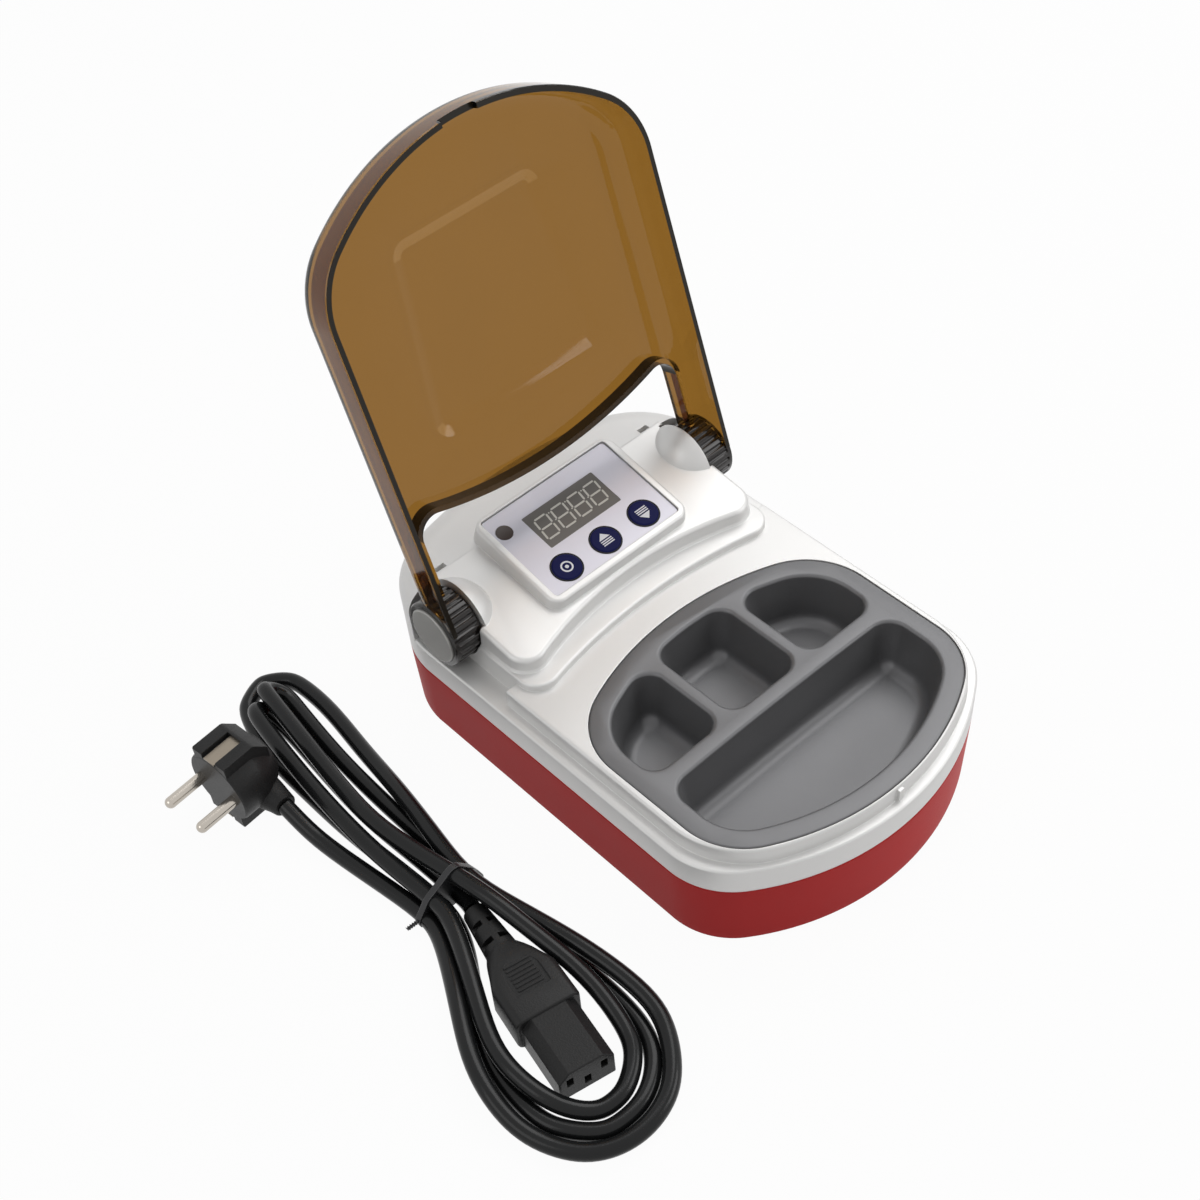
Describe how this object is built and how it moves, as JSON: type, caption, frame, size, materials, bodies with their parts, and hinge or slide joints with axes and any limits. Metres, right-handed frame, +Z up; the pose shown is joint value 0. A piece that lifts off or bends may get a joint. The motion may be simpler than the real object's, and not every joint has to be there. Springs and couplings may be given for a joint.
{
  "type": "dental wax heater",
  "caption": "Bench-top wax heater with a three-well heated pot, sloping key and display panel, amber hinged lid and a coiled detachable mains cord.",
  "frame": {"origin": "on the plane of the feet, under the middle of the body", "axes": "+X to the user's right along the hinge line, +Y to the back, +Z up; lid shown open as in the picture"},
  "size_m": [0.2596, 0.2695, 0.2332],
  "materials": {
    "red_shell": "satin moulded plastic, dark red",
    "black_rubber": "matt rubber",
    "silver_cover": "fine silver paint, satin",
    "pot_aluminium": "dark coated casting, semi-matt, bright worn edges",
    "gasket": "silicone rubber",
    "plain_aluminium": "milled",
    "element": "mica-wrapped heating ring",
    "insulation": "pressed ceramic fibre",
    "steel": "plain zinc-plated steel",
    "brass_part": "plain brass",
    "label": "printed silver film, satin",
    "key_black": "matt black",
    "display_glass": "grey window",
    "display_body": "dark display module with pale digit segments",
    "lamp_lens": "smoked lens",
    "board_green": "circuit board",
    "copper_part": "wound transformer",
    "relay_blue": "moulded case",
    "black_plastic": "moulded, fine texture",
    "nickel": "nickel-plated",
    "amber": "clear amber-brown plastic",
    "cap_grey": "satin grey",
    "key_blue": "dark blue with white symbols",
    "cord_black": "soft black plastic with a sheen",
    "tie_black": "thin black tie strip"
  },
  "bodies": {
    "body": {"base_shell": "red_shell", "foot_pads": "black_rubber", "top_cover": "silver_cover", "pot": "pot_aluminium", "pot_gasket": "gasket", "heater_plate": "plain_aluminium", "heating_element": "element", "insulation_pad": "insulation", "temperature_sensor": "steel", "thermal_fuse": "brass_part", "pot_screws": "steel", "panel_label": "label", "key_rings": "key_black", "display_window": "display_glass", "display_module": "display_body", "indicator_lens": "lamp_lens", "control_board": "board_green", "key_switches": "key_black", "power_board": "board_green", "transformer": "copper_part", "relay": "relay_blue", "power_inlet": "black_plastic", "inlet_blades": "nickel", "switch_frame": "black_plastic", "case_screws": "steel", "board_screws": "steel", "hinge_pin_left": "steel", "hinge_pin_right": "steel", "plug_body": "cord_black", "plug_pins": "nickel", "plug_earth_clips": "nickel", "mains_cord": "cord_black", "cord_tie": "tie_black", "connector_body": "cord_black", "connector_contacts": "brass_part", "connector_relief": "cord_black"},
    "lid_part": {"lid": "amber", "hinge_cap_left": "cap_grey", "hinge_cap_right": "cap_grey"},
    "key_set_part": {"key_set": "key_blue"},
    "key_up_part": {"key_up": "key_blue"},
    "key_down_part": {"key_down": "key_blue"},
    "rocker_part": {"switch_rocker": "black_plastic"}
  },
  "joints": [
    {"name": "lid_hinge", "type": "hinge", "parent": "body", "child": "lid_part", "pos_m": [0, 0.0622, 0.0625], "axis": [1, 0, 0], "range_deg": [0, 107.8]},
    {"name": "key_set_press", "type": "slide", "parent": "body", "child": "key_set_part", "axis": [0, 0.1994, -0.9799], "range_m": [0, 0.0005], "stiffness_N_per_m": 600},
    {"name": "key_up_press", "type": "slide", "parent": "body", "child": "key_up_part", "axis": [0, 0.1994, -0.9799], "range_m": [0, 0.0005], "stiffness_N_per_m": 600},
    {"name": "key_down_press", "type": "slide", "parent": "body", "child": "key_down_part", "axis": [0, 0.1994, -0.9799], "range_m": [0, 0.0005], "stiffness_N_per_m": 600},
    {"name": "switch_tilt", "type": "hinge", "parent": "body", "child": "rocker_part", "pos_m": [0.019, 0.1048, 0.02], "axis": [0, 0, 1], "range_deg": [0, 14]}
  ]
}
